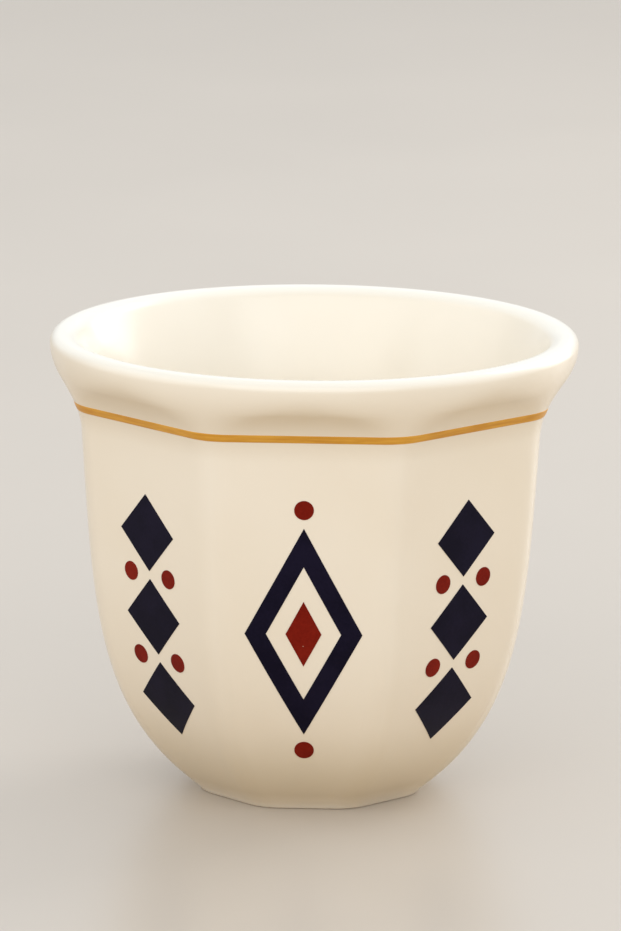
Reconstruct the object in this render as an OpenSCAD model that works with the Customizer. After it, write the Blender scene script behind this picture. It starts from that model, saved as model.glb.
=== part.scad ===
// Small coffee cup without a handle, in cream glazed porcelain.
// Eight soft facets rise from a narrow foot, curve in to a neck with a gold line,
// and open into a thick round lip. The inside is round and smooth.
// Each facet carries a fired-on navy and red transfer of lozenges and dots.
// The foot stands on z = 0, the axis is z, and one facet faces -y.

/* [Overall] */
// Height from the foot to the top of the lip
cup_h = 58; // [50:0.5:70]
// Outside diameter of the lip at its widest
rim_d = 66; // [62:0.5:72]
// Width of the neck across its flats, where the flare begins
neck_w = 56.8; // [54:0.2:59]
// Number of facets
facet_count = 8; // [6:2:8]
// Radius of the rounded ridges between the facets
ridge_r = 5.4; // [2:0.1:8]

/* [Foot] */
// Width of the foot across its flats, on the ground
foot_w = 26.8; // [24:0.2:32]
// Slope of the foot's side, in degrees from upright
foot_slope = 37; // [28:1:44]
// Radius of the hollow between that side and the belly
foot_fillet = 5.7; // [3:0.1:8]
// Radius of the foot's lower edges
foot_edge_r = 0.4; // [0.1:0.05:0.45]
// Width of the ring that the cup stands on
foot_ring_w = 2.8; // [2:0.1:4]
// Depth of the recess inside that ring
recess_h = 1.6; // [0.8:0.1:2.2]
// Radius of the recess's inner corner
recess_fillet = 0.8; // [0.3:0.1:1]

/* [Belly] */
// Slope of the belly where it leaves the foot, in degrees from upright
heel_angle = 49.5; // [46:0.5:58]
// Reach of that slope up the belly
heel_pull = 16; // [12:0.5:20]
// Slope of the wall at the neck, in degrees from upright
wall_draft = 3.6; // [1:0.1:6]
// Reach of the wall's slope down the belly
wall_pull = 22; // [17:0.5:26]

/* [Lip] */
// Radius of the hollow of the neck
neck_r = 9; // [7:0.1:11]
// Radius of the underside of the lip
lip_under_r = 4.3; // [3:0.1:5]
// Radius of the lip's outer upper edge
lip_top_r = 1.3; // [1:0.1:1.8]
// Width of the flat crown of the lip
lip_crown_w = 0.4; // [0.2:0.1:1]
// Radius of the lip's inner upper edge
lip_inner_r = 2.2; // [1.4:0.1:2.6]
// Reach of the wall's slope up each ridge, before the ridge bends out to the lip
ridge_rise = 3.8; // [2:0.1:5]
// Reach of the lip's upright edge down each ridge
ridge_drop = 3.9; // [2:0.1:5]

/* [Inside] */
// Thickness of the wall at the neck, in the middle of a facet
wall_t = 3.3; // [2.6:0.1:3.8]
// Thickness of the floor above the recess
floor_t = 3.6; // [2.5:0.1:6]
// Reach of the level floor from the axis
floor_pull = 20.5; // [16:0.5:22]
// Reach of the inner wall's slope down the bowl
bowl_pull = 27; // [22:0.5:32]
// Radius of the hollow curve from the inner wall to the lip
throat_r = 36; // [30:0.5:44]

/* [Gold line] */
// Distance of the line's middle below the top of the lip
line_drop = 7.7; // [6.5:0.1:10]
// Width of the line
line_w = 1; // [0.6:0.1:1.6]

/* [Transfers] */
// Thickness of the fired-on colour
film_t = 0.1; // [0.05:0.01:0.2]
// Distance of the motifs' middle below the gold line
motif_drop = 24.8; // [22:0.1:26]
// Width of the lozenge frame
frame_w = 14.4; // [11:0.2:15.4]
// Height of the lozenge frame
frame_h = 27; // [22:0.5:28]
// Level width of the frame's band
frame_band = 2.6; // [1.6:0.1:3.4]
// Width of the lozenge in the frame's middle
core_w = 4.4; // [3:0.1:5]
// Height of the lozenge in the frame's middle
core_h = 8.4; // [5:0.1:9.5]
// Width of a lozenge in the column
stack_w = 9.6; // [7:0.2:11]
// Height of a lozenge in the column
stack_h = 9.8; // [8:0.1:10.5]
// Gap between the lozenges of the column
stack_gap = 1; // [0.4:0.1:1.6]
// Number of lozenges in the column
stack_count = 3; // [2:1:3]
// Diameter of the dots
dot_d = 2.4; // [1.6:0.1:3]
// Gap between the frame's points and the dots above and below
dot_gap = 1.1; // [0.6:0.1:1.6]
// Distance of the column's side dots from its middle
dot_offset = 3.4; // [2.8:0.1:4]

/* [Hidden] */
$fn = 48;
facet_turn = 360 / facet_count;
half_turn = facet_turn / 2;
facets = [0:facet_count - 1];
front = -90;

function navy_name(k) = str("navy_lozenges_", k + 1);
function red_name(k) = str("red_accents_", k + 1);

// How far cutters and blanks run past the surfaces that they cut
overrun = 1;
// Points along each stretch of the profiles, up the flare of a ridge, and around it
foot_steps = 3;
belly_steps = 15;
neck_steps = 9;
lip_steps = 5;
bowl_steps = 24;
ridge_rows = 24;
ridge_steps = 6;
// Width that each facet keeps where the lip is round
least_flat = 0.3;

rim_r = rim_d / 2;
foot_r = foot_w / 2;
wall_r = neck_w / 2;

// Slope at which the neck's hollow passes into the round underside of the lip
flare = acos((neck_r * cos(wall_draft) + lip_under_r - (rim_r - wall_r)) / (neck_r + lip_under_r));
lip_z = cup_h - lip_top_r;
flare_z = lip_z - lip_under_r * sin(flare);
neck_z = flare_z - neck_r * (sin(flare) - sin(wall_draft));

line_z = cup_h - line_drop;
motif_z = line_z - motif_drop;

line_low = line_z - line_w / 2;
line_high = line_z + line_w / 2;

// The profiles are lists of [distance from the axis, height].
// An arc of radius r from p, where slopes are degrees from upright and grow outwards
function bend(p, r, from, to, steps) = [
    for (i = [1:steps])
        let (slope = from + (to - from) * i / steps, side = to > from ? 1 : -1)
            p + side * r * [cos(from) - cos(slope), sin(slope) - sin(from)]
];

// A cubic curve from p to q that leaves p along the first handle and reaches q along the second
function sweep(p, p_handle, q, q_handle, steps) = [
    for (i = [1:steps])
        let (t = i / steps, u = 1 - t)
            u * u * u * p + 3 * u * u * t * (p + p_handle) + 3 * u * t * t * (q - q_handle) + t * t * t * q
];

// A handle of the given length at a slope
function handle(slope, reach) = reach * [sin(slope), cos(slope)];

function last(list) = list[len(list) - 1];

// The stretch of a profile between two heights, with a point at each of them
function stretch(profile, low, high) =
    let (reach = [for (p = profile) [p[1], p[0]]])
    concat(
        [[lookup(low, reach), low]],
        [for (p = profile) if (p[1] > low && p[1] < high) p],
        [[lookup(high, reach), high]]
    );

// Outside profile at the middle of a facet, from the foot to the top of the lip
foot_start = [foot_r, 0];
foot_edge = bend(foot_start, foot_edge_r, 90, foot_slope, foot_steps);
foot_curve = bend(last(foot_edge), foot_fillet, foot_slope, heel_angle, foot_steps);
belly_curve = sweep(
    last(foot_curve), handle(heel_angle, heel_pull),
    [wall_r, neck_z], handle(wall_draft, wall_pull), belly_steps
);
neck_curve = bend(last(belly_curve), neck_r, wall_draft, flare, neck_steps);
lip_curve = bend(last(neck_curve), lip_under_r, flare, 0, lip_steps);
crown_curve = bend(last(lip_curve), lip_top_r, 0, -90, lip_steps);
whole_profile = concat(
    [foot_start], foot_edge, foot_curve, belly_curve, neck_curve, lip_curve, crown_curve
);

// Its stretches below and under the gold line, and the whole with points at the line's edges
facet_profile = stretch(whole_profile, 0, line_low);
line_profile = stretch(whole_profile, line_low, line_high);
outside_profile = concat(
    facet_profile,
    [for (p = line_profile) if (p[1] > line_low) p],
    [for (p = whole_profile) if (p[1] > line_high) p]
);

// Inside profile, from the middle of the floor to the lip's crown
floor_z = recess_h + floor_t;
bowl_r = wall_r - wall_t;
mouth_r = last(crown_curve)[0] - lip_crown_w;
inner_flare = acos((throat_r * cos(wall_draft) - (mouth_r - bowl_r)) / (throat_r - lip_inner_r));
throat_z = cup_h - lip_inner_r * (1 - sin(inner_flare)) - throat_r * (sin(inner_flare) - sin(wall_draft));
bowl_curve = sweep(
    [0, floor_z], handle(90, floor_pull),
    [bowl_r, throat_z], handle(wall_draft, bowl_pull), bowl_steps
);
throat_curve = bend(last(bowl_curve), throat_r, wall_draft, inner_flare, neck_steps);
mouth_curve = bend(last(throat_curve), lip_inner_r, inner_flare, 90, lip_steps);

// Profile of a ridge from the neck to the edge of the lip: it bends out more gently than the facets do
ridge_start = [(wall_r - ridge_r * (1 - cos(half_turn))) / cos(half_turn), neck_z];
ridge_curve = concat([ridge_start], sweep(
    ridge_start, handle(wall_draft, ridge_rise),
    [rim_r, lip_z], handle(0, ridge_drop), ridge_rows
));
ridge_reach = [for (p = ridge_curve) [p[1], p[0]]];

// Radius of the ridges at a place of the profile: above the neck it grows until the lip is round
function ridge_at(p) =
    let (
        curve_r = (p[0] - lookup(p[1], ridge_reach) * cos(half_turn)) / (1 - cos(half_turn)),
        round_r = p[0] - least_flat / 2 / tan(half_turn)
    )
    p[1] < neck_z ? ridge_r : p[1] < lip_z ? min(max(curve_r, ridge_r), round_r) : round_r;

// The ring of points at one place of the profile: a polygon with rounded corners, set out by a film
function ring(p, film = 0) =
    let (r = ridge_at(p), corner = (p[0] - r) / cos(half_turn))
    [
        for (k = facets, j = [0:ridge_steps])
            let (mid = front + (k + 0.5) * facet_turn, turn = mid + (j / ridge_steps - 0.5) * facet_turn)
                [
                    corner * cos(mid) + (r + film) * cos(turn),
                    corner * sin(mid) + (r + film) * sin(turn),
                    p[1]
                ]
    ];

ring_size = facet_count * (ridge_steps + 1);

// Two triangles for each step around the wall between ring a and ring b
function wall_faces(a, b) = [
    for (i = [0:ring_size - 1])
        let (j = (i + 1) % ring_size, a0 = a * ring_size, b0 = b * ring_size)
            each [[a0 + i, b0 + i, b0 + j], [a0 + i, b0 + j, a0 + j]]
];

// A solid skinned over a stack of rings, with flat ends
module loft(rings) {
    count = len(rings);
    polyhedron(
        points = [for (r = rings) each r],
        faces = concat(
            [[for (i = [0:ring_size - 1]) i]],
            [for (n = [0:count - 2]) each wall_faces(n, n + 1)],
            [[for (i = [ring_size - 1:-1:0]) (count - 1) * ring_size + i]]
        )
    );
}

// A closed band skinned over a loop of rings
module band(rings) {
    count = len(rings);
    polyhedron(
        points = [for (r = rings) each r],
        faces = [for (n = [0:count - 1]) each wall_faces(n, (n + 1) % count)]
    );
}

// Outside of the cup, run past the foot and the crown so that the cutters leave flat faces there
module outside() {
    below = foot_start - [0, overrun];
    above = last(crown_curve) + [0, overrun];
    loft([for (p = concat([below], outside_profile, [above])) ring(p)]);
}

// Everything inside the bowl and above the lip
module mouth_cutter() {
    rotate_extrude()
        polygon(concat(
            [[0, floor_z]], bowl_curve, throat_curve, mouth_curve,
            [[rim_d, cup_h], [rim_d, cup_h + 2 * overrun], [0, cup_h + 2 * overrun]]
        ));
}

// Everything under the foot, and the recess inside its ring
module foot_cutter() {
    recess_r = foot_r - foot_ring_w;
    rotate_extrude()
        polygon(concat(
            [[0, -2 * overrun], [rim_d, -2 * overrun], [rim_d, 0], [recess_r + foot_edge_r, 0]],
            bend([recess_r + foot_edge_r, 0], foot_edge_r, -90, 0, foot_steps),
            [[recess_r, recess_h - recess_fillet]],
            bend([recess_r, recess_h - recess_fillet], recess_fillet, 0, -90, lip_steps),
            [[0, recess_h]]
        ));
}

// Sets its children, drawn with the facet facing +x, on facet k
module on_facet(k) {
    rotate(front + k * facet_turn) children();
}

// A film of colour over the belly of facet k in the shape of the flat child, whose y is the height
module film(k) {
    on_facet(k) intersection() {
        rotate([90, 0, 0])
            linear_extrude(neck_w, center = true)
                polygon(concat(
                    facet_profile,
                    [for (i = [len(facet_profile) - 1:-1:0]) facet_profile[i] + [film_t, 0]]
                ));
        rotate([90, 0, 90]) linear_extrude(rim_d) children();
    }
}

module lozenge(w, h) {
    polygon([[w / 2, 0], [0, h / 2], [-w / 2, 0], [0, -h / 2]]);
}

// Copies of the children above one another, about the motifs' middle
module column(count, pitch) {
    for (i = [0:count - 1])
        translate([0, motif_z + (i - (count - 1) / 2) * pitch]) children();
}

stack_pitch = stack_h + stack_gap;
frame_inner_w = frame_w - 2 * frame_band;

// Lozenge frame with straight bands of even width
module navy_frame() {
    translate([0, motif_z]) difference() {
        lozenge(frame_w, frame_h);
        lozenge(frame_inner_w, frame_h * frame_inner_w / frame_w);
    }
}

// Lozenge in the frame, and a dot off each of the frame's points
module red_core() {
    translate([0, motif_z]) lozenge(core_w, core_h);
    column(2, frame_h + 2 * dot_gap + dot_d) circle(d = dot_d);
}

module navy_stack() {
    column(stack_count, stack_pitch) lozenge(stack_w, stack_h);
}

// A pair of dots at each waist of the column
module red_pairs() {
    column(stack_count - 1, stack_pitch)
        for (side = [-1, 1]) translate([side * dot_offset, 0]) circle(d = dot_d);
}

// One moulded porcelain body with its foot ring
module cup_body() {
    color([0.93, 0.88, 0.79]) difference() {
        outside();
        mouth_cutter();
        foot_cutter();
    }
}

// Gold line around the neck, which follows the facets and ridges
module neck_line() {
    inner = [for (p = line_profile) ring(p)];
    outer = [for (i = [len(line_profile) - 1:-1:0]) ring(line_profile[i], film_t)];
    color([0.78, 0.55, 0.25]) band(concat(inner, outer));
}

// Navy transfer of facet k: a frame and a column take turns around the cup
module navy_lozenges(k) {
    color([0.1, 0.09, 0.16]) film(k) {
        if (k % 2 == 0) navy_frame(); else navy_stack();
    }
}

// Red transfer of facet k
module red_accents(k) {
    color([0.5, 0.11, 0.06]) film(k) {
        if (k % 2 == 0) red_core(); else red_pairs();
    }
}

cup_body();
neck_line();
for (k = facets) {
    navy_lozenges(k);
    red_accents(k);
}
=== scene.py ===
# %% [markdown]
# A small coffee cup without a handle, in cream glazed porcelain.
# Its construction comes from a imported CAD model, which is loaded first as a fixed frame. Everything made
# below lies over that frame, in metres, with the foot on z = 0, the axis on z and one facet towards -y.

# %% Load the frame
import math

import bpy
from mathutils import Matrix, Vector


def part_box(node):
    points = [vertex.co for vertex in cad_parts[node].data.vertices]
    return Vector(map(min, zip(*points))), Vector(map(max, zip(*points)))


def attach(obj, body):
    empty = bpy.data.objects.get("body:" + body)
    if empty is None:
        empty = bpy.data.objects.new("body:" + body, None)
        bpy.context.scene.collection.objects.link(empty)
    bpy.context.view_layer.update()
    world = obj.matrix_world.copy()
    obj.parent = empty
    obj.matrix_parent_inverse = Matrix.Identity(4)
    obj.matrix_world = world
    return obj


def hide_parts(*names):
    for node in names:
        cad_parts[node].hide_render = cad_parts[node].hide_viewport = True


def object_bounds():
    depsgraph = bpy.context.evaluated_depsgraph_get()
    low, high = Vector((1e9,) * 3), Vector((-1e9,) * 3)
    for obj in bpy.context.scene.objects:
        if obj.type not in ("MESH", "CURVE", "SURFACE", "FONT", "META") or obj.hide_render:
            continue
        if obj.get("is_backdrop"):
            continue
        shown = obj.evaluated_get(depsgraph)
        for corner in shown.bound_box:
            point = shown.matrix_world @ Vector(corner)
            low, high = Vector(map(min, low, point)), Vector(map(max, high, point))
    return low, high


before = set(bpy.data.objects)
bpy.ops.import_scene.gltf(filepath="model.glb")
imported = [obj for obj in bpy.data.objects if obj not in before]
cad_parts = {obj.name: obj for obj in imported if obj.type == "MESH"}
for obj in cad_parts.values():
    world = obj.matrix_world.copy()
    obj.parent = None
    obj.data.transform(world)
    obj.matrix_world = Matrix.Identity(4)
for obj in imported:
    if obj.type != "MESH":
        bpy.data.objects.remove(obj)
cad_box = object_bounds()
MM = 0.001

scene = bpy.context.scene
scene.view_settings.view_transform = "Standard"
print("nodes in the frame:", len(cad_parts))

# %% [markdown]
# The camera stands where the photograph was taken: a little above the lip, far off, with a long lens.
# Such a camera could be placed by eye. Here four measured facts place it instead: how far it stands,
# how high it looks down, how it leans, and which pixel shows a known point on the cup's axis. The
# camera is aimed so that this pixel comes right, which needs no lens shift.

# %% Camera
photo_w, photo_h = 621, 931
focal_pixels = 6762
camera_distance = 850 * MM
camera_azimuth = math.radians(2.18)
camera_elevation = math.radians(12.86)
camera_lean = math.radians(0.5)
axis_point = Vector((0, 0, 30 * MM))
axis_pixel = Vector((312.5, 550.0))

back = Vector((
    math.sin(camera_azimuth) * math.cos(camera_elevation),
    -math.cos(camera_azimuth) * math.cos(camera_elevation),
    math.sin(camera_elevation),
))
level = Vector((math.cos(camera_azimuth), math.sin(camera_azimuth), 0))
right = Matrix.Rotation(camera_lean, 3, back) @ level
up = back.cross(right)
camera_place = axis_point + back * camera_distance

pixel_size = camera_distance / focal_pixels
off_centre = (axis_pixel - Vector((photo_w, photo_h)) / 2) * pixel_size
aim = axis_point - right * off_centre.x + up * off_centre.y
away = (camera_place - aim).normalized()
right = (right - away * right.dot(away)).normalized()
up = away.cross(right)

camera_data = bpy.data.cameras.new("camera")
camera_data.lens = camera_data.sensor_width * focal_pixels / photo_h
camera = bpy.data.objects.new("camera", camera_data)
camera.matrix_world = Matrix((right, up, away)).transposed().to_4x4()
camera.location = camera_place
scene.collection.objects.link(camera)
scene.camera = camera
print("lens in mm:", round(camera_data.lens, 1))

# %% [markdown]
# Geometry trees and shader trees are both made of nodes, and long chains of nodes are hard to read as
# code. The class below wraps one socket, so that sums on sockets read like sums on numbers: each
# operator adds a Math node to the tree. Any other node comes from add, which takes the node's type, its
# settings and its sockets.

# %% Sockets as numbers
class Field:
    """An output socket of a node. Arithmetic on it adds Math nodes to its tree."""

    def __init__(self, socket):
        self.socket = socket

    @staticmethod
    def add(tree, kind, settings=None, sockets=None):
        """A new node, as its first output. Settings go first, because they decide on the sockets."""
        node = tree.nodes.new(kind)
        for name, value in (settings or {}).items():
            setattr(node, name, value)
        for key, value in (sockets or {}).items():
            by_name = (s for s in node.inputs if s.name == key and s.enabled)
            target = node.inputs[key] if isinstance(key, int) else next(by_name)
            if isinstance(value, Field):
                tree.links.new(value.socket, target)
            else:
                target.default_value = value
        return Field(next((s for s in node.outputs if s.enabled), None))

    def out(self, name):
        """Another output of the same node."""
        return Field(next(s for s in self.socket.node.outputs if s.name == name and s.enabled))

    def math(self, operation, *values):
        """A Math node on these values, or on this socket alone."""
        tree = self.socket.id_data
        return Field.add(tree, "ShaderNodeMath", {"operation": operation}, dict(enumerate(values or [self])))

    def __add__(self, other):
        return self.math("ADD", self, other)

    def __radd__(self, other):
        return self.math("ADD", other, self)

    def __sub__(self, other):
        return self.math("SUBTRACT", self, other)

    def __rsub__(self, other):
        return self.math("SUBTRACT", other, self)

    def __mul__(self, other):
        return self.math("MULTIPLY", self, other)

    def __rmul__(self, other):
        return self.math("MULTIPLY", other, self)

    def __truediv__(self, other):
        return self.math("DIVIDE", self, other)

    def __rtruediv__(self, other):
        return self.math("DIVIDE", other, self)

    def __pow__(self, other):
        return self.math("POWER", self, other)

    def __rpow__(self, other):
        return self.math("POWER", other, self)

    def __gt__(self, other):
        return self.math("GREATER_THAN", self, other)

    # Python reads 1 > mask as mask < 1, so this is the reflected form of the one above.
    def __lt__(self, other):
        return self.math("LESS_THAN", self, other)

    def __abs__(self):
        return self.math("ABSOLUTE")


print("operators ready on", Field.__name__)


# %% Vectors of sockets
def vector(tree, x, y, z):
    """A vector put together from three values."""
    return Field.add(tree, "ShaderNodeCombineXYZ", sockets={"X": x, "Y": y, "Z": z})


def split(tree, value):
    """A vector taken apart, with the outputs X, Y and Z."""
    return Field.add(tree, "ShaderNodeSeparateXYZ", sockets={"Vector": value})


def position(tree):
    """The place of each point of a mesh in a geometry tree."""
    return Field.add(tree, "GeometryNodeInputPosition")


print("helpers for vectors:", vector.__name__, split.__name__, position.__name__)

# %% [markdown]
# Every piece below is grown by a geometry tree and then kept as a plain mesh. The helper here makes the
# tree's inputs from a piece's named sizes, sets them on the modifier, and turns the result into a mesh.
# A modifier knows its inputs by identifier and not by name, so the identifiers are kept as the inputs
# are made.

# %% From a tree to a mesh
SOCKET_TYPES = {
    float: "NodeSocketFloat",
    int: "NodeSocketInt",
    bpy.types.Material: "NodeSocketMaterial",
    bpy.types.Object: "NodeSocketObject",
}


def grow(piece, build, sizes):
    """Runs the tree that build makes on a piece, and leaves the result as the piece's own mesh."""
    tree = bpy.data.node_groups.new(piece.name + "_tree", "GeometryNodeTree")
    tree.interface.new_socket("Geometry", in_out="OUTPUT", socket_type="NodeSocketGeometry")
    tree.interface.new_socket("Geometry", in_out="INPUT", socket_type="NodeSocketGeometry")
    identifiers = {}
    for name, value in sizes.items():
        kind = SOCKET_TYPES[type(value)]
        identifiers[name] = tree.interface.new_socket(name, in_out="INPUT", socket_type=kind).identifier
    inlet = Field.add(tree, "NodeGroupInput")
    given = {name: inlet.out(name) for name in ["Geometry", *sizes]}
    shape = Field.add(tree, "GeometryNodeRealizeInstances", sockets={"Geometry": build(tree, given)})
    finish = {"Geometry": shape, "Material": given["Finish"]}
    shape = Field.add(tree, "GeometryNodeSetMaterial", sockets=finish)
    Field.add(tree, "NodeGroupOutput", sockets={"Geometry": shape})

    modifier = piece.modifiers.new("tree", "NODES")
    modifier.node_group = tree
    for name, value in sizes.items():
        modifier[identifiers[name]] = value
    graph = bpy.context.evaluated_depsgraph_get()
    grown = piece.evaluated_get(graph)
    mesh = bpy.data.meshes.new_from_object(grown, preserve_all_data_layers=True, depsgraph=graph)
    piece.modifiers.remove(modifier)
    mesh.name = piece.name
    piece.data = mesh
    print(piece.name, "has", len(mesh.polygons), "faces")


def new_piece(name, points=(), edges=()):
    """An object in the scene, with a mesh of these points and edges."""
    mesh = bpy.data.meshes.new(name)
    mesh.from_pydata(points, edges, [])
    piece = bpy.data.objects.new(name, mesh)
    scene.collection.objects.link(piece)
    return piece


print("kinds of input that a tree can have:", ", ".join(kind.__name__ for kind in SOCKET_TYPES))


# %% [markdown]
# The cup has one profile, cut through the middle of a facet. It runs from the middle of the recess
# under the foot, out over the foot ring, up the belly and neck, over the lip and down the inside to the
# middle of the floor. It could be drawn with Bezier handles in the curve editor. It is worked out here
# from arcs and two cubic curves, because a mould maker's drawing gives radii and slopes, and these can
# be changed one at a time.

# %% Arcs and curves of a profile
def bend(start, radius, slope, end_slope, steps):
    """An arc from start. Slopes are degrees from upright and grow outwards."""
    side = 1 if end_slope > slope else -1
    first = math.radians(slope)
    turns = [math.radians(slope + (end_slope - slope) * i / steps) for i in range(1, steps + 1)]
    arms = [Vector((math.cos(first) - math.cos(t), math.sin(t) - math.sin(first))) for t in turns]
    return [start + side * radius * arm for arm in arms]


def handle(slope, reach):
    """A curve's handle of the given length at a slope."""
    return reach * Vector((math.sin(math.radians(slope)), math.cos(math.radians(slope))))


def sweep(start, start_handle, end, end_handle, steps):
    """A cubic curve that leaves start along one handle and reaches end along the other."""
    points = []
    for i in range(1, steps + 1):
        t = i / steps
        u = 1 - t
        near = u ** 3 * start + 3 * u * u * t * (start + start_handle)
        points.append(near + 3 * u * t * t * (end - end_handle) + t ** 3 * end)
    return points


def straight(start, end, steps):
    """Points on a straight stretch, without its start."""
    return [start.lerp(end, i / steps) for i in range(1, steps + 1)]


quarter = bend(Vector((0, 0)), radius=1, slope=0, end_slope=90, steps=6)
print("a quarter turn of radius 1 goes from 0, 0 to", [round(c, 3) for c in quarter[-1]])

# %% Sizes of the cup
cup_low, cup_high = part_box("cup_body")
line_low, line_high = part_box("neck_line")
line_mid = (line_low.z + line_high.z) / 2
line_half = (line_high.z - line_low.z) / 2
cup_h = cup_high.z - cup_low.z
rim_r = (cup_high.x - cup_low.x) / 2
facet_count = 8
half_facet = math.pi / facet_count
ridge_r = 5.4 * MM
ridge_rise = 3.8 * MM
ridge_drop = 3.9 * MM

foot_r = 13.4 * MM
foot_slope = 37
foot_fillet = 5.7 * MM
foot_edge_r = 0.4 * MM
recess_r = 10.6 * MM
recess_h = 1.6 * MM
recess_fillet = 0.8 * MM

heel_slope, heel_pull = 49.5, 16 * MM
wall_slope, wall_pull = 3.6, 22 * MM
wall_r = 28.4 * MM
neck_r = 9 * MM
lip_under_r = 4.3 * MM
lip_top_r = 1.3 * MM
lip_inner_r = 2.2 * MM
crown_w = 0.4 * MM

wall_t = 3.3 * MM
floor_z = 5.2 * MM
floor_pull = 20.5 * MM
bowl_pull = 27 * MM
throat_r = 36 * MM
print("cup height and lip radius in mm:", round(cup_h / MM, 2), round(rim_r / MM, 2))

# %% Profile, outside
wall_turn = math.radians(wall_slope)
flare_cosine = (neck_r * math.cos(wall_turn) + lip_under_r - (rim_r - wall_r)) / (neck_r + lip_under_r)
flare_turn = math.acos(flare_cosine)
flare = math.degrees(flare_turn)
lip_z = cup_h - lip_top_r
flare_z = lip_z - lip_under_r * math.sin(flare_turn)
neck_z = flare_z - neck_r * (math.sin(flare_turn) - math.sin(wall_turn))

foot_start = Vector((foot_r, 0))
neck_start = Vector((wall_r, neck_z))
heel_handle = handle(heel_slope, heel_pull)
wall_handle = handle(wall_slope, wall_pull)
outside = [foot_start]
outside += bend(outside[-1], foot_edge_r, 90, foot_slope, steps=6)
outside += bend(outside[-1], foot_fillet, foot_slope, heel_slope, steps=8)
outside += sweep(outside[-1], heel_handle, neck_start, wall_handle, steps=44)
outside += bend(outside[-1], neck_r, wall_slope, flare, steps=26)
outside += bend(outside[-1], lip_under_r, flare, 0, steps=16)
outside += bend(outside[-1], lip_top_r, 0, -90, steps=12)
print("points outside:", len(outside))

# %% Profile, inside and underneath
mouth_r = outside[-1].x - crown_w
bowl_r = wall_r - wall_t
throat_turn = math.acos((throat_r * math.cos(wall_turn) - (mouth_r - bowl_r)) / (throat_r - lip_inner_r))
throat_rise = throat_r * (math.sin(throat_turn) - math.sin(wall_turn))
throat_slope = math.degrees(throat_turn)
throat_start = Vector((bowl_r, cup_h - lip_inner_r * (1 - math.sin(throat_turn)) - throat_rise))

floor_handle = handle(90, floor_pull)
bowl_handle = handle(wall_slope, bowl_pull)
inside = [Vector((0, floor_z))]
inside += sweep(inside[-1], floor_handle, throat_start, bowl_handle, steps=48)
inside += bend(inside[-1], throat_r, wall_slope, throat_slope, steps=22)
inside += bend(inside[-1], lip_inner_r, throat_slope, 90, steps=12)

under = [Vector((recess_r + foot_edge_r, 0))]
under += bend(under[-1], foot_edge_r, -90, 0, steps=6)
under += straight(under[-1], Vector((recess_r, recess_h - recess_fillet)), steps=2)
under += bend(under[-1], recess_fillet, 0, -90, steps=8)
under += straight(under[-1], Vector((0, recess_h)), steps=12)
print("points inside and underneath:", len(inside), len(under))

# %% [markdown]
# Where the profile is faceted and where it is round is the cup's second rule. The foot and belly have
# eight facets, and the lip and the inside are round. Between the neck and the lip each ridge has a
# curve of its own, which bends out more gently than the facets do, and the corners grow rounder until
# nothing is left of them. Each profile point carries this as a share called facet: 1 is faceted, 0 is
# round.

# %% Ridges between the neck and the lip
shrink = math.cos(half_facet)
ridge_start = Vector(((wall_r - ridge_r * (1 - shrink)) / shrink, neck_z))
ridge_end = Vector((rim_r, lip_z))
ridge_curve = [ridge_start]
ridge_curve += sweep(
    ridge_start, handle(wall_slope, ridge_rise), ridge_end, handle(0, ridge_drop), steps=96
)


def ridge_reach(height):
    """Distance of a ridge from the axis at a height between the neck and the lip."""
    low, high = next(pair for pair in zip(ridge_curve, ridge_curve[1:]) if height <= pair[1].y)
    return low.lerp(high, (height - low.y) / (high.y - low.y)).x


def facet_share(point):
    """How faceted the outside is at a point of its profile."""
    if point.y <= neck_z:
        return 1
    if point.y >= lip_z:
        return 0
    corner_r = (point.x - ridge_reach(point.y) * shrink) / (1 - shrink)
    return min(max((point.x - corner_r) / (point.x - ridge_r), 0), 1)


print("ridge from the axis in mm, neck and lip:", [round(p.x / MM, 2) for p in (ridge_start, ridge_end)])


# %% The whole profile
def profile_piece(name, profile):
    """An object whose mesh is a profile, with the facet share on its points."""
    points = [(p.x, 0, p.y) for p, _ in profile]
    piece = new_piece(name, points, [(i, i + 1) for i in range(len(points) - 1)])
    share = piece.data.attributes.new("facet", "FLOAT", "POINT")
    share.data.foreach_set("value", [facet for _, facet in profile])
    return piece


ring_steps = 4
ring = straight(under[0], foot_start, ring_steps)[:-1]
cup_profile = [(p, 0) for p in reversed(under)]
cup_profile += [(p, (i + 1) / ring_steps) for i, p in enumerate(ring)]
cup_profile += [(p, facet_share(p)) for p in outside]
cup_profile += [(p, 0) for p in reversed(inside)]
porcelain_cup = profile_piece("porcelain_cup", cup_profile)
print("points of the whole profile:", len(cup_profile))

# %% [markdown]
# The body is then a grid that is wrapped round the axis. A lathe, the Screw modifier, would make it
# round everywhere. A geometry tree can do more: it reads the profile row by row, and sets each column
# at the distance that a polygon with rounded corners has in that direction. Columns crowd together at
# the ridges, where the surface turns most. At the end the seam and the two poles are welded, so the
# shell is closed.

# %% Tree of the faceted loft
crest_sharpness = 10


def rounded_polygon(inradius, ridge, local):
    """Distance from the axis to a polygon with rounded corners, at an angle from the middle of a side."""
    core = inradius - ridge
    flat = inradius / local.math("COSINE")
    flat_end = (core * math.tan(half_facet) / inradius).math("ARCTANGENT")
    corner = core / math.cos(half_facet)
    turn = half_facet - abs(local)
    chord = corner * turn.math("SINE")
    gap = ridge * ridge - chord * chord
    bow = corner * turn.math("COSINE") + gap.math("MAXIMUM", gap, 0).math("SQRT")
    return flat + (abs(local) > flat_end) * (bow - flat)


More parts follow.
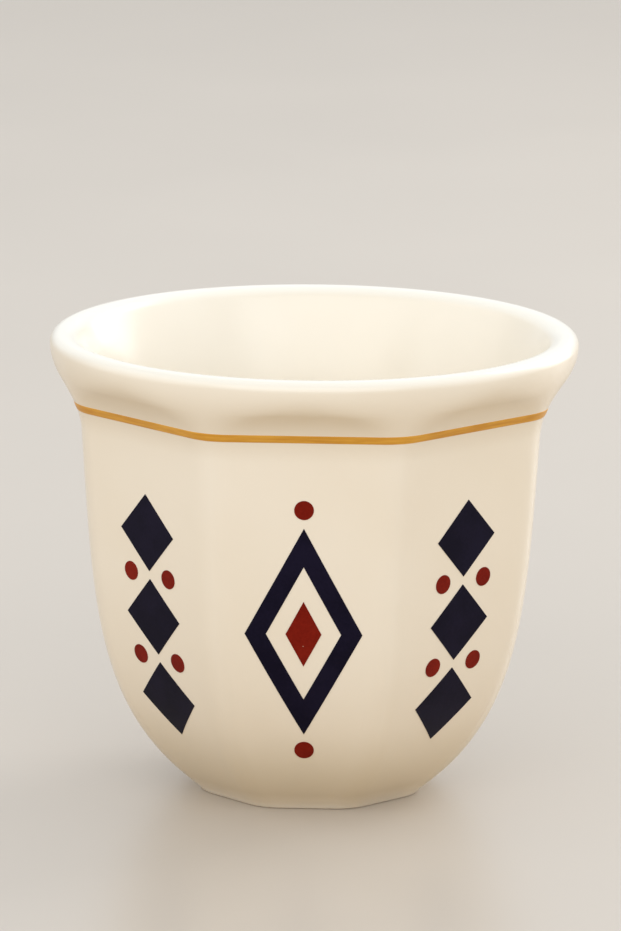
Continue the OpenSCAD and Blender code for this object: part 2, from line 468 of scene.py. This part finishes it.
def faceted_loft(tree, given):
    """A grid wrapped round the axis, with one row for each point of the profile."""
    rows = Field.add(tree, "GeometryNodeAttributeDomainSize", sockets={"Geometry": given["Geometry"]})
    columns = given["Columns per facet"] * facet_count
    lattice = Field.add(tree, "GeometryNodeMeshGrid", sockets={
        "Size X": 1, "Size Y": 1, "Vertices X": columns + 1, "Vertices Y": rows,
    })
    across = split(tree, position(tree))
    row = ((across.out("Y") + 0.5) * (rows - 1)).math("ROUND")

    def on_profile(kind, value):
        sockets = {"Geometry": given["Geometry"], "Value": value, "Index": row}
        return Field.add(tree, "GeometryNodeSampleIndex", {"data_type": kind}, sockets)

    place = split(tree, on_profile("FLOAT_VECTOR", position(tree)))
    share = Field.add(tree, "GeometryNodeInputNamedAttribute", sockets={"Name": "facet"})
    facet = on_profile("FLOAT", share)

    turns = (across.out("X") + 0.5) * facet_count
    side = turns.math("FLOOR")
    sway = (turns - side) * 2 - 1
    local = (sway * (math.pi / 2)).math("SINE") * half_facet
    inradius = place.out("X")
    ridge = inradius + (given["Ridge radius"] - inradius) * facet
    reach = rounded_polygon(inradius, ridge, local)
    angle = side * (2 * half_facet) - math.pi / 2 + local
    point = vector(tree, reach * angle.math("COSINE"), reach * angle.math("SINE"), place.out("Z"))

    crest = facet * (abs(local) / half_facet) ** crest_sharpness
    shell = Field.add(tree, "GeometryNodeStoreNamedAttribute", {"data_type": "FLOAT"}, {
        "Geometry": lattice, "Name": "crest", "Value": crest,
    })
    shell = Field.add(tree, "GeometryNodeSetPosition", sockets={"Geometry": shell, "Position": point})
    weld = {"Geometry": shell, "Distance": given["Weld distance"]}
    shell = Field.add(tree, "GeometryNodeMergeByDistance", sockets=weld)
    return Field.add(tree, "GeometryNodeSetShadeSmooth", sockets={"Geometry": shell})


print("sides of the rounded polygon:", facet_count)


# %% [markdown]
# Glazes and enamels are glass: a clear gloss over colour. A flat colour would look like plastic, so
# each finish gets what the fired surface has: colour in clouds, a shine that drifts, and a faint
# ripple. Pictures could be wrapped round the cup for this. Noise on Object coordinates needs no
# unwrapping and is sharp at any distance. The coordinates are in metres, so a pattern's scale is one
# over the size of its features.

# %% Helpers for finishes
def new_finish(name):
    """A material, with its tree, its shader node and its Object coordinates."""
    material = bpy.data.materials.new(name)
    material.use_nodes = True
    tree = material.node_tree
    coordinates = Field.add(tree, "ShaderNodeTexCoord").out("Object")
    return material, tree, tree.nodes["Principled BSDF"], coordinates


def noise(tree, coordinates, feature, detail=2.0):
    """Soft noise about 0.5 with features of the given size."""
    sockets = {"Vector": coordinates, "Scale": 1 / feature, "Detail": detail}
    return Field.add(tree, "ShaderNodeTexNoise", {"normalize": True}, sockets)


def blend(tree, share, first, second):
    """A colour between two colours."""
    sockets = {"Factor": share, "A": first, "B": second}
    return Field.add(tree, "ShaderNodeMix", {"data_type": "RGBA"}, sockets).out("Result")


def ramp(tree, value, low, high):
    """The value's place between low and high, from 0 to 1 with soft ends."""
    sockets = {"Value": value, "From Min": low, "From Max": high}
    return Field.add(tree, "ShaderNodeMapRange", {"interpolation_type": "SMOOTHSTEP"}, sockets)


def relief(tree, height, depth):
    """A normal from a height between 0 and 1 that stands for the given depth."""
    return Field.add(tree, "ShaderNodeBump", sockets={"Height": height, "Distance": depth})


def feed(tree, shader, **links):
    """Links fields to the shader's sockets, whose names are written with underscores."""
    for name, field in links.items():
        tree.links.new(field.socket, shader.inputs[name.replace("_", " ")])


print("helpers for finishes:", ", ".join(helper.__name__ for helper in (noise, blend, ramp, relief, feed)))


# %% [markdown]
# The cup's glaze ran while it melted. It lies thinner and whiter on the ridges, and the ring that the cup
# stood on in the kiln was wiped to bare clay. Light and shade are painted into the colour as well: the
# lip's edge is whiter as a painted highlight, a band just above the foot is lighter as painted light, and
# the glaze grows deeper towards the heel as painted shade. A painted mask could show that. Ramps over the
# height, and the crest value that the loft left on its points, do it here, because they follow the cup
# when its sizes change. The ripple is the faint one called orange peel.

# %% Porcelain
def porcelain_finish():
    """Cream glaze, whiter on ridges, bare on the foot ring; painted lip highlight, foot light and heel
    shade.
    """
    material, tree, shader, place = new_finish("cream_glaze")
    thick_glaze = (0.836, 0.776, 0.664, 1)
    thin_glaze = (0.866, 0.818, 0.722, 1)
    # Painted highlight: a whiter colour on the lip's edge.
    lip_highlight_colour = (0.862, 0.836, 0.756, 1)
    # Painted shade: a darker, yellower colour towards the heel.
    heel_shade_colour = (0.760, 0.708, 0.588, 1)
    # Painted light: a lighter colour for the band just above the foot.
    foot_light_colour = (0.920, 0.885, 0.790, 1)
    bare_clay = (0.800, 0.750, 0.670, 1)
    cloud_share, crest_share = 0.7, 0.3
    least_rough, cloud_rough, clay_rough = 0.20, 0.08, 0.45
    peel_share, grain_share = 0.12, 0.5
    ripple_depth = 0.03 * MM

    clouds = noise(tree, place, feature=24 * MM, detail=3.0)
    peel = noise(tree, place, feature=1.6 * MM)
    swell = noise(tree, place, feature=11 * MM)
    grain = noise(tree, place, feature=0.25 * MM)
    crest = Field.add(tree, "ShaderNodeAttribute", {"attribute_name": "crest"}).out("Fac")
    height = split(tree, place).out("Z")
    bare = 1 - ramp(tree, height, low=0.08 * MM, high=0.20 * MM)
    # Painted shade: the colour grows darker from 14 mm down to 4 mm above the floor.
    heel_shade = 1 - ramp(tree, height, low=4 * MM, high=14 * MM)
    # Painted light: a lighter band from 2.6 mm down to 0.8 mm above the floor.
    foot_light_band = 1 - ramp(tree, height, low=0.8 * MM, high=2.6 * MM)
    # Painted highlight over the lip's top millimetre.
    lip = ramp(tree, height, low=cup_h - 1.1 * MM, high=cup_h - 0.2 * MM)

    thin = ramp(tree, clouds, low=0.3, high=0.7) * cloud_share + crest * crest_share
    glaze = blend(tree, thin, thick_glaze, thin_glaze)
    # These blends paint a highlight on the lip, shade at the heel and light just above the foot.
    glaze = blend(tree, lip, glaze, lip_highlight_colour)
    glaze = blend(tree, heel_shade, glaze, heel_shade_colour)
    glaze = blend(tree, foot_light_band, glaze, foot_light_colour)
    colour = blend(tree, bare, glaze, bare_clay)
    rough = least_rough + cloud_rough * clouds + bare * clay_rough
    ripple = peel * peel_share + swell * (1 - bare) + bare * grain * grain_share
    feed(tree, shader, Base_Color=colour, Roughness=rough, Normal=relief(tree, ripple, ripple_depth))
    shader.inputs["IOR"].default_value = 1.5
    return material


weld_distance = 0.001 * MM
loft_sizes = {"Columns per facet": 32, "Ridge radius": ridge_r, "Weld distance": weld_distance}
grow(porcelain_cup, faceted_loft, {**loft_sizes, "Finish": porcelain_finish()})


# %% [markdown]
# The gold line was brushed on while the cup turned, so it is a thin raised ribbon with round edges that
# follows facets and ridges. A bevelled curve could follow them too. The loft above already knows the
# cup's section at every height, so the ribbon is a second, closed profile for the same tree. Its enamel
# is streaked along the brush: the noise is squeezed in height, which draws its features out along the
# line.

# %% Gold enamel
def gold_finish():
    """Ochre gold enamel, streaked along the brush."""
    material, tree, shader, place = new_finish("ochre_gold_enamel")
    deep_gold = (0.620, 0.295, 0.034, 1)
    pale_gold = (0.750, 0.405, 0.060, 1)
    squeeze = (1, 1, 12)
    streak_share, pool_share = 0.6, 0.4
    least_rough, streak_rough = 0.28, 0.14
    streak_depth = 0.01 * MM

    squeezed = Field.add(tree, "ShaderNodeMapping", sockets={"Vector": place, "Scale": squeeze})
    streaks = noise(tree, squeezed, feature=4 * MM, detail=3.0)
    pools = noise(tree, place, feature=9 * MM)
    pale = ramp(tree, streaks * streak_share + pools * pool_share, low=0.35, high=0.65)
    colour = blend(tree, pale, deep_gold, pale_gold)
    rough = least_rough + streak_rough * streaks
    feed(tree, shader, Base_Color=colour, Roughness=rough, Normal=relief(tree, streaks, streak_depth))
    shader.inputs["Specular IOR Level"].default_value = 0.3
    return material


enamel_for_line = gold_finish()
print("enamel of the line:", enamel_for_line.name)


# %% Gold line
def on_neck(height, film):
    """A point that a film's thickness lifts off the neck's hollow, and how faceted the neck is there."""
    turn = math.asin(math.sin(wall_turn) + (height - neck_z) / neck_r)
    wall = Vector((wall_r + neck_r * (math.cos(wall_turn) - math.cos(turn)), height))
    return wall + Vector((film, 0)), facet_share(wall)


line_film = 0.06 * MM
film_sink = 0.04 * MM
line_steps = 12
line_profile = []
for i in range(line_steps + 1):
    turn = math.pi * i / line_steps
    height = line_mid - line_half * math.cos(turn)
    line_profile.append(on_neck(height, line_film * math.sin(turn)))
for end in (1, -1):
    line_profile.append(on_neck(line_mid + end * line_half, -film_sink))
line_profile.append(line_profile[0])
gold_line = profile_piece("gold_line", line_profile)
grow(gold_line, faceted_loft, {**loft_sizes, "Finish": enamel_for_line})


# %% [markdown]
# The facets carry a fired-on transfer of lozenges and dots, in navy and red. A painted texture could
# show it, but a film with its own edge is what the maker lays on, and it stays sharp at any distance. A
# lozenge is all points at one distance from its middle when distance is counted as across plus up, and
# a dot is the same with ordinary distance, so one grid in rings makes both. Copies are set on a flat
# sheet, then every point is sent against the front facet by Raycast, and the finished film is turned
# round the cup.

# %% Flat motifs
motif_turn_steps = 64
motif_ring_steps = 8


def motif(tree, width, height, hole, pointed):
    """A lozenge, or a dot where pointed is false, upright at y = 0, with a hole of its own shape."""
    lattice = Field.add(tree, "GeometryNodeMeshGrid", sockets={
        "Size X": 1, "Size Y": 1, "Vertices X": motif_turn_steps + 1, "Vertices Y": motif_ring_steps + 1,
    })
    place = split(tree, position(tree))
    angle = place.out("X") * (-2 * math.pi)
    across = angle.math("COSINE")
    upward = angle.math("SINE")
    reach = (place.out("Y") + 0.5) * (1 - hole) + hole
    if pointed:
        reach = reach / (abs(across) + abs(upward))
    point = vector(tree, across * reach * width / 2, 0, upward * reach * height / 2)
    patch = Field.add(tree, "GeometryNodeSetPosition", sockets={"Geometry": lattice, "Position": point})
    weld = {"Geometry": patch, "Distance": weld_distance}
    return Field.add(tree, "GeometryNodeMergeByDistance", sockets=weld)


def copies(tree, patch, count, start, step):
    """Copies of a motif in a row from start."""
    row = {"Count": count, "Start Location": start, "Offset": step}
    spots = Field.add(tree, "GeometryNodeMeshLine", sockets=row)
    return Field.add(tree, "GeometryNodeInstanceOnPoints", sockets={"Points": spots, "Instance": patch})


def join(tree, *parts):
    """Several geometries as one."""
    node = tree.nodes.new("GeometryNodeJoinGeometry")
    for part in reversed(parts):
        tree.links.new(part.socket, node.inputs[0])
    return Field(node.outputs[0])


print("points round a motif:", motif_turn_steps)

# %% Films on the facets
sharp_turn = math.radians(40)


def film_on_facet(tree, given, flat):
    """Lays a flat sheet of motifs against the front facet and gives it the film's thickness."""
    sheet = Field.add(tree, "GeometryNodeRealizeInstances", sockets={"Geometry": flat})
    cup = Field.add(tree, "GeometryNodeObjectInfo", sockets={"Object": given["Cup"]}).out("Geometry")
    place = split(tree, position(tree))
    ray = Field.add(tree, "GeometryNodeRaycast", sockets={
        "Target Geometry": cup,
        "Source Position": vector(tree, place.out("X"), -2 * rim_r, place.out("Z")),
        "Ray Direction": (0, 1, 0),
    })
    touch = split(tree, ray.out("Hit Position"))
    laid = vector(tree, touch.out("X"), touch.out("Y") + film_sink, touch.out("Z"))
    sheet = Field.add(tree, "GeometryNodeSetPosition", sockets={"Geometry": sheet, "Position": laid})
    raised = Field.add(tree, "GeometryNodeExtrudeMesh", sockets={
        "Mesh": sheet, "Offset Scale": given["Film"] + film_sink, "Individual": False,
    })
    lining = Field.add(tree, "GeometryNodeFlipFaces", sockets={"Mesh": sheet})
    weld = {"Geometry": join(tree, raised, lining), "Distance": weld_distance}
    film = Field.add(tree, "GeometryNodeMergeByDistance", sockets=weld)
    film = Field.add(tree, "GeometryNodeSetShadeSmooth", sockets={"Geometry": film})
    steep = Field.add(tree, "GeometryNodeInputMeshEdgeAngle") > sharp_turn
    sharp = {"Geometry": film, "Selection": steep, "Shade Smooth": False}
    return Field.add(tree, "GeometryNodeSetShadeSmooth", {"domain": "EDGE"}, sharp)


def every_other_facet(tree, film, first):
    """Turns a film round the cup, to every other facet from the first."""
    count = facet_count // 2
    spots = Field.add(tree, "GeometryNodeMeshLine", sockets={"Count": count, "Offset": (0, 0, 0)})
    turn = (Field.add(tree, "GeometryNodeInputIndex") * 2 + first) * (2 * half_facet)
    return Field.add(tree, "GeometryNodeInstanceOnPoints", sockets={
        "Points": spots, "Instance": film, "Rotation": vector(tree, 0, 0, turn),
    })


print("edges of a film that turn by more than", round(math.degrees(sharp_turn)), "degrees stay sharp")

# %% Sizes of the motifs
frame_low, frame_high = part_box("navy_lozenges_1")
motif_z = (frame_low.z + frame_high.z) / 2
motif_sizes = {
    "Film": 0.05 * MM,
    "Motif height": motif_z,
    "Frame width": frame_high.x - frame_low.x,
    "Frame height": frame_high.z - frame_low.z,
    "Frame band": 2.6 * MM,
    "Core width": 4.4 * MM,
    "Core height": 8.4 * MM,
    "Stack width": 9.6 * MM,
    "Stack height": 9.8 * MM,
    "Stack gap": 1 * MM,
    "Stack count": 3,
    "Dot": 2.4 * MM,
    "Dot gap": 1.1 * MM,
    "Dot offset": 3.4 * MM,
    "Cup": porcelain_cup,
}
print("height of the motifs' middle in mm:", round(motif_z / MM, 2))


# %% Trees of the two transfers
def navy_motifs(tree, given):
    """A lozenge frame on the odd facets, and a column of lozenges on the even ones."""
    hole = 1 - given["Frame band"] * 2 / given["Frame width"]
    border = motif(tree, given["Frame width"], given["Frame height"], hole, pointed=True)
    border = copies(tree, border, 1, vector(tree, 0, 0, given["Motif height"]), (0, 0, 0))

    pitch = given["Stack height"] + given["Stack gap"]
    lowest = given["Motif height"] - pitch * (given["Stack count"] - 1) / 2
    stone = motif(tree, given["Stack width"], given["Stack height"], hole=0, pointed=True)
    stack = copies(tree, stone, given["Stack count"], vector(tree, 0, 0, lowest), vector(tree, 0, 0, pitch))
    return join(
        tree,
        every_other_facet(tree, film_on_facet(tree, given, border), first=0),
        every_other_facet(tree, film_on_facet(tree, given, stack), first=1),
    )


def red_motifs(tree, given):
    """A core and two dots in line with the frame, and pairs of dots at the waists of the column."""
    core = motif(tree, given["Core width"], given["Core height"], hole=0, pointed=True)
    core = copies(tree, core, 1, vector(tree, 0, 0, given["Motif height"]), (0, 0, 0))
    dot = motif(tree, given["Dot"], given["Dot"], hole=0, pointed=False)
    reach = given["Frame height"] / 2 + given["Dot gap"] + given["Dot"] / 2
    lower_dot = vector(tree, 0, 0, given["Motif height"] - reach)
    ends = copies(tree, dot, 2, lower_dot, vector(tree, 0, 0, reach * 2))

    pitch = given["Stack height"] + given["Stack gap"]
    lowest = given["Motif height"] - pitch * (given["Stack count"] - 2) / 2
    pairs = []
    for side in (-1, 1):
        lowest_dot = vector(tree, given["Dot offset"] * side, 0, lowest)
        pairs.append(copies(tree, dot, given["Stack count"] - 1, lowest_dot, vector(tree, 0, 0, pitch)))
    return join(
        tree,
        every_other_facet(tree, film_on_facet(tree, given, join(tree, core, ends)), first=0),
        every_other_facet(tree, film_on_facet(tree, given, join(tree, *pairs)), first=1),
    )


print("sizes that steer the transfers:", len(motif_sizes))


# %% [markdown]
# The transfer's colours are printed enamel: flat and nearly matt, a little uneven, with a pinhole here
# and there through which some glaze shows. The pinholes could be set by hand. A Voronoi texture sets
# them: it divides space into cells, and a lot for each cell decides whether there is a pinhole in its
# middle.

# %% Transfer colours
def transfer_finish(name, deep, pale):
    """Printed enamel: slightly uneven colour with a few soft pinholes that show some glaze."""
    material, tree, shader, place = new_finish(name)
    glaze = (0.70, 0.62, 0.50, 1)
    cloud_share, grain_share = 0.7, 0.3
    least_rough, cloud_rough = 0.29, 0.10
    cell_size = 2.2 * MM
    least_lot, pinhole_strength = 0.9, 0.5
    grain_depth = 0.004 * MM

    clouds = noise(tree, place, feature=5 * MM, detail=3.0)
    grain = noise(tree, place, feature=0.35 * MM)
    cells = Field.add(tree, "ShaderNodeTexVoronoi", sockets={"Vector": place, "Scale": 1 / cell_size})
    lot = Field.add(tree, "ShaderNodeSeparateColor", sockets={"Color": cells.out("Color")})
    speck = 1 - ramp(tree, cells.out("Distance"), low=0.01, high=0.045)
    pinhole = speck * (lot > least_lot) * pinhole_strength
    uneven = ramp(tree, clouds * cloud_share + grain * grain_share, low=0.35, high=0.65)
    colour = blend(tree, pinhole, blend(tree, uneven, deep, pale), glaze)
    rough = least_rough + cloud_rough * clouds
    feed(tree, shader, Base_Color=colour, Roughness=rough, Normal=relief(tree, grain, grain_depth))
    shader.inputs["Specular IOR Level"].default_value = 0.07
    return material


deep_navy, pale_navy = (0.0042, 0.0032, 0.0125, 1), (0.0076, 0.0060, 0.0200, 1)
deep_red, pale_red = (0.155, 0.0070, 0.0030, 1), (0.212, 0.0120, 0.0052, 1)
navy_transfer = new_piece("navy_transfer")
navy_finish = transfer_finish("navy_enamel", deep_navy, pale_navy)
grow(navy_transfer, navy_motifs, {**motif_sizes, "Finish": navy_finish})
red_transfer = new_piece("red_transfer")
red_finish = transfer_finish("red_enamel", deep_red, pale_red)
grow(red_transfer, red_motifs, {**motif_sizes, "Finish": red_finish})

# %% [markdown]
# Each finished piece now rides on the frame's one body and takes over the CAD nodes that it stands for.
# That keeps the dressed cup and the CAD cup the same object.

# %% Pieces on the frame
facet_numbers = range(1, facet_count + 1)
stands_for = {
    porcelain_cup: ("porcelain", ["cup_body"]),
    gold_line: ("gold_enamel", ["neck_line"]),
    navy_transfer: ("navy_enamel", [f"navy_lozenges_{n}" for n in facet_numbers]),
    red_transfer: ("red_enamel", [f"red_accents_{n}" for n in facet_numbers]),
}
for piece, (slot_name, node_names) in stands_for.items():
    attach(piece, "root")
    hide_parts(*node_names)
    print(piece.name, "stands for", len(node_names), "nodes")


# %% [markdown]
# The stage is a wide pale floor with a satin sheen. A plain white floor would do, but it would light
# the cup from below with a cooler tone. Light Path tells which rays look at the floor and which only
# carry its light on, so the floor can look pale and still throw a warm light back, which warms the
# hollow under the lip.

# %% Floor
def floor_finish():
    """Pale satin board to look at, which throws warm light on the cup from below."""
    material, tree, shader, place = new_finish("pale_board")
    deep_board = (0.53, 0.48, 0.42, 1)
    pale_board = (0.57, 0.52, 0.46, 1)
    warm_bounce = (0.50, 0.38, 0.24, 1)
    least_rough, mottle_rough = 0.30, 0.10

    mottle = noise(tree, place, feature=60 * MM, detail=4.0)
    colour = blend(tree, mottle, deep_board, pale_board)
    feed(tree, shader, Base_Color=colour, Roughness=least_rough + mottle_rough * mottle)
    rays = Field.add(tree, "ShaderNodeLightPath")
    seen = rays.out("Is Camera Ray") + rays.out("Is Glossy Ray") + rays.out("Is Transmission Ray")
    bounce = Field.add(tree, "ShaderNodeBsdfDiffuse", sockets={"Color": warm_bounce})
    either = {0: seen, 1: bounce, 2: Field(shader.outputs[0])}
    surface = Field.add(tree, "ShaderNodeMixShader", sockets=either)
    feed(tree, tree.nodes["Material Output"], Surface=surface)
    return material


floor_r = 4.0
floor_sides = 96
floor_turns = [2 * math.pi * i / floor_sides for i in range(floor_sides)]
floor_points = [(floor_r * math.cos(t), floor_r * math.sin(t), 0) for t in floor_turns]
floor_mesh = bpy.data.meshes.new("floor")
floor_mesh.from_pydata(floor_points, [], [list(range(floor_sides))])
floor_mesh.materials.append(floor_finish())
floor = bpy.data.objects.new("floor", floor_mesh)
scene.collection.objects.link(floor)
floor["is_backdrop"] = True
print("floor radius in m:", floor_r)


# %% [markdown]
# Porcelain shows its form by broad, gentle changes of tone. Small lamps would leave hard spots in the
# glaze, so the lamps are large softboxes: a strong one in front, weaker ones at the left, at the right
# and behind, and a narrow one behind the right shoulder, which draws the bright edge on that side. The
# world adds even light.

# %% Lamps and world
def softbox(name, size, place, colour, watts):
    """A rectangular lamp that faces the middle of the cup."""
    lamp = bpy.data.lights.new(name, "AREA")
    lamp.shape = "RECTANGLE"
    lamp.size, lamp.size_y = size
    lamp.color = colour
    lamp.energy = watts
    holder = bpy.data.objects.new(name, lamp)
    holder.location = place
    holder.rotation_mode = "QUATERNION"
    holder.rotation_quaternion = (Vector(place) - axis_point).to_track_quat("Z", "Y")
    scene.collection.objects.link(holder)


white = (1.0, 1.0, 1.0)
day = (0.88, 0.95, 1.0)
softbox("front", size=(1.8, 0.9), place=(0.0, -1.0, 0.7), colour=white, watts=8.3)
softbox("left", size=(1.2, 1.0), place=(-0.95, -0.1, 0.5), colour=white, watts=2.55)
softbox("right", size=(1.2, 1.0), place=(0.95, 0.1, 0.4), colour=white, watts=1.7)
softbox("back", size=(1.8, 0.9), place=(0.0, 0.9, 0.6), colour=day, watts=2.35)
softbox("window", size=(0.4, 0.8), place=(0.53, 0.465, 0.3), colour=white, watts=3.1)

room_strength = 0.66
world = bpy.data.worlds.new("room")
scene.world = world
world.use_nodes = True
room_light = world.node_tree.nodes["Background"]
room_light.inputs["Color"].default_value = (*white, 1)
room_light.inputs["Strength"].default_value = room_strength

# %% [markdown]
# Last, the dressed cup is measured against the CAD box. How much each side has grown is printed, so
# that a change of size would show.

# %% Measure and finish
visual_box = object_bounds()
growth = [v - c for visual, cad in zip(visual_box, cad_box) for v, c in zip(visual, cad)]
print("grown in mm:", [round(g / MM, 3) for g in growth])
